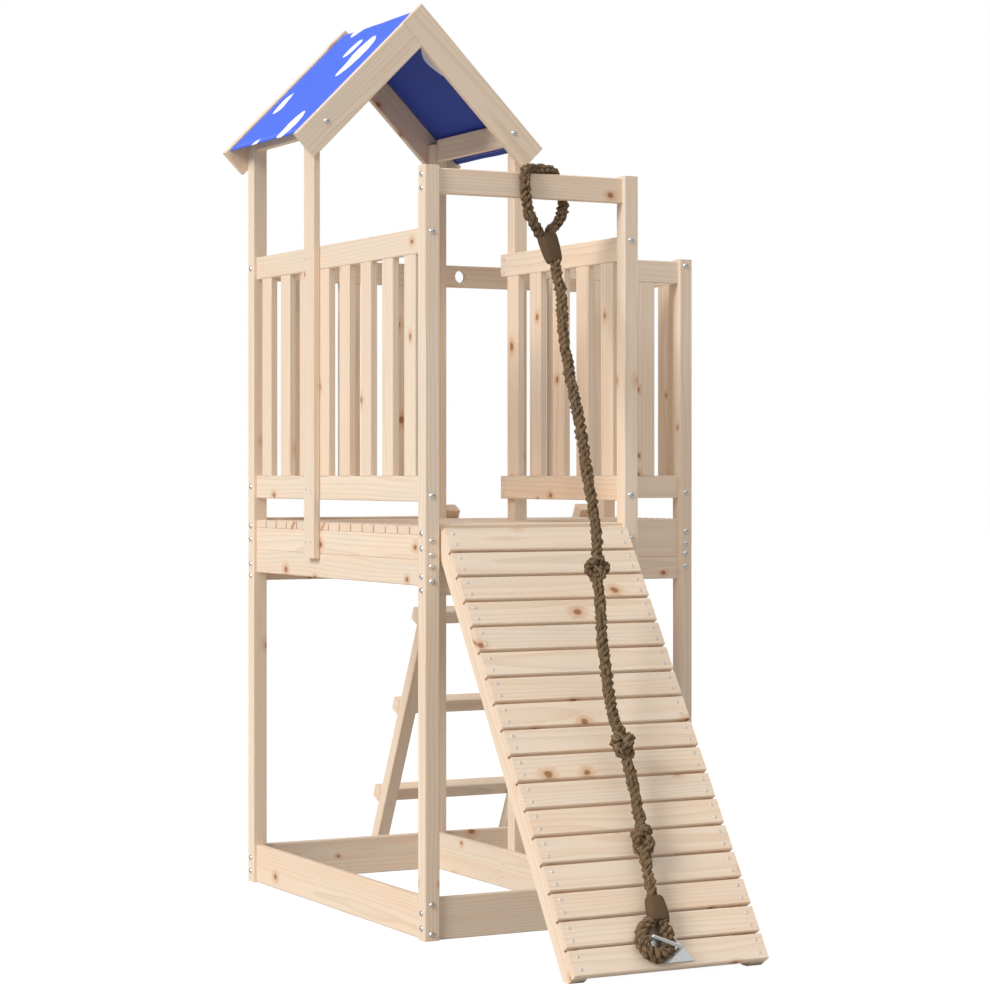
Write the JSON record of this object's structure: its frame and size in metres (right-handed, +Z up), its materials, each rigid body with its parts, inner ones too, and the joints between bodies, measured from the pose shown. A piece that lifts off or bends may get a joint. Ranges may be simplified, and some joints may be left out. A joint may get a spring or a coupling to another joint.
{
  "type": "climbing frame",
  "caption": "Wooden climbing frame for a garden: roofed tower with a railed balcony, plank ramp with knotted rope, ladder and fabric canopy.",
  "frame": {"origin": "on the ground, under the middle of the frame's box", "axes": "+Z up, -Y towards the foot of the ramp, +X towards the balcony"},
  "size_m": [1.1024, 2.0804, 2.14],
  "materials": {
    "timber": "bare sanded softwood",
    "canopy_fabric": "coated blue fabric with white patches",
    "rope_fibre": "coarse twisted rope",
    "steel": "bright zinc plated"
  },
  "bodies": {
    "root": {"post_front_left": "timber", "post_front_right": "timber", "post_back_left": "timber", "post_back_middle": "timber", "post_middle": "timber", "post_balcony_front": "timber", "post_balcony_back": "timber", "left_upright": "timber", "crossbar": "timber", "base_left": "timber", "base_front": "timber", "base_inner": "timber", "base_back": "timber", "base_balcony_back": "timber", "base_balcony_right": "timber", "base_balcony_front": "timber", "deck_beam_left": "timber", "deck_beam_middle": "timber", "deck_beam_right": "timber", "header_front": "timber", "header_back": "timber", "header_balcony_front": "timber", "header_balcony_back": "timber", "tower_planks": "timber", "balcony_planks": "timber", "rail_left_top": "timber", "rail_left_bottom": "timber", "slats_left": "timber", "rail_back_top": "timber", "rail_back_bottom": "timber", "slats_back": "timber", "rail_inner_top": "timber", "rail_inner_bottom": "timber", "slats_inner": "timber", "rail_balcony_front_top": "timber", "rail_balcony_front_bottom": "timber", "slats_balcony_front": "timber", "rail_balcony_right_top": "timber", "rail_balcony_right_bottom": "timber", "slats_balcony_right": "timber", "grab_rail": "timber", "rafter_front_left": "timber", "rafter_front_right": "timber", "rafter_back_left": "timber", "rafter_back_right": "timber", "eave_beam_left": "timber", "eave_beam_right": "timber", "canopy": "canopy_fabric", "ramp_planks": "timber", "ramp_stringer_left": "timber", "ramp_stringer_right": "timber", "ladder_stringer_left": "timber", "ladder_stringer_right": "timber", "ladder_rungs": "timber", "rope": "rope_fibre", "rope_eyes": "rope_fibre", "rope_sleeves": "rope_fibre", "rope_knots": "rope_fibre", "rope_anchor": "steel", "bolts": "steel"}
  },
  "joints": []
}
